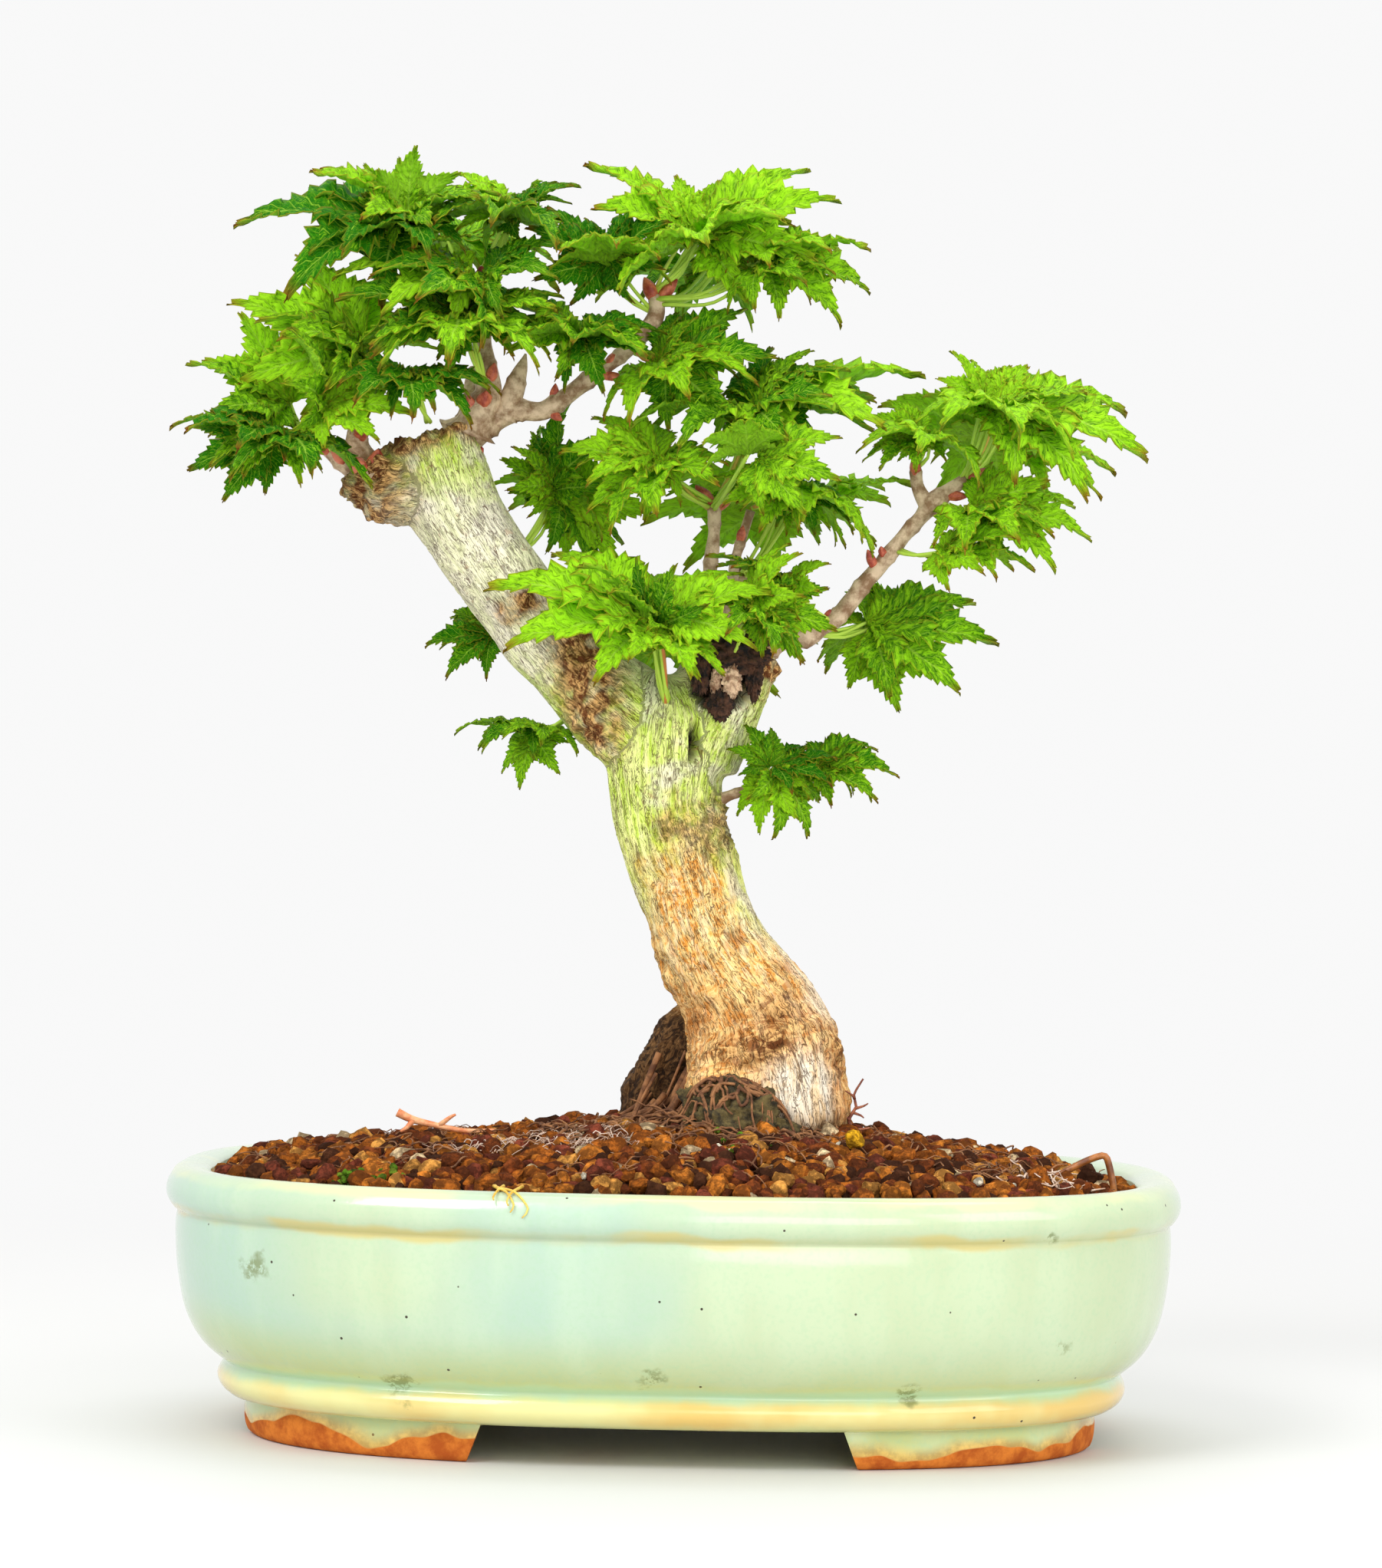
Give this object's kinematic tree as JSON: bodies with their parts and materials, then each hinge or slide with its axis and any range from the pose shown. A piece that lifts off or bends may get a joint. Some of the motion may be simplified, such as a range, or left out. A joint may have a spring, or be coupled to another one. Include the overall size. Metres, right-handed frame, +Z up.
{
  "type": "bonsai tree in a pot",
  "caption": "Small maple bonsai with a thick cut-back trunk, tufts of crinkled lobed leaves and granular soil, in an oval glazed pot on feet.",
  "frame": {"origin": "middle of the pot's footprint on the surface it stands on", "axes": "+Z up, +X along the pot's length to the right of the display front, +Y to the back, across the pot"},
  "size_m": [0.25, 0.186, 0.3198],
  "materials": {
    "glaze": "gloss",
    "soil": "matte",
    "bark": "matte",
    "leaf": "satin",
    "rootlets": "matte",
    "netting": "matte",
    "clip_wire": "satin",
    "tie_wire": "satin",
    "dry_stalk": "matte"
  },
  "bodies": {
    "root": {"drain_mesh_left": "netting", "drain_mesh_right": "netting", "dry_stalk": "dry_stalk", "leaves_behind_limb": "leaf", "leaves_branch_left": "leaf", "leaves_crown_left": "leaf", "leaves_crown_left_rear": "leaf", "leaves_crown_middle": "leaf", "leaves_crown_right": "leaf", "leaves_crown_right_end": "leaf", "leaves_crown_right_left": "leaf", "leaves_crown_right_rear": "leaf", "leaves_far_left_face": "leaf", "leaves_far_left_low": "leaf", "leaves_far_left_top": "leaf", "leaves_fork_front": "leaf", "leaves_fork_rear": "leaf", "leaves_fork_right": "leaf", "leaves_inner_left": "leaf", "leaves_left_shoot": "leaf", "leaves_left_shoulder": "leaf", "leaves_limb_back": "leaf", "leaves_limb_under": "leaf", "leaves_low_right": "leaf", "leaves_low_right_out": "leaf", "leaves_middle_face": "leaf", "leaves_middle_left": "leaf", "leaves_middle_rear": "leaf", "leaves_middle_right": "leaf", "leaves_middle_top": "leaf", "leaves_right_low": "leaf", "leaves_right_rear": "leaf", "leaves_right_side": "leaf", "leaves_right_top": "leaf", "leaves_right_top_left": "leaf", "leaves_right_under": "leaf", "leaves_round_bud": "leaf", "leaves_row": "leaf", "leaves_row_end": "leaf", "mesh_clip_left": "clip_wire", "mesh_clip_right": "clip_wire", "pot": "glaze", "root_clump": "rootlets", "soil": "soil", "tie_wire": "tie_wire", "wood": "bark"}
  },
  "joints": []
}
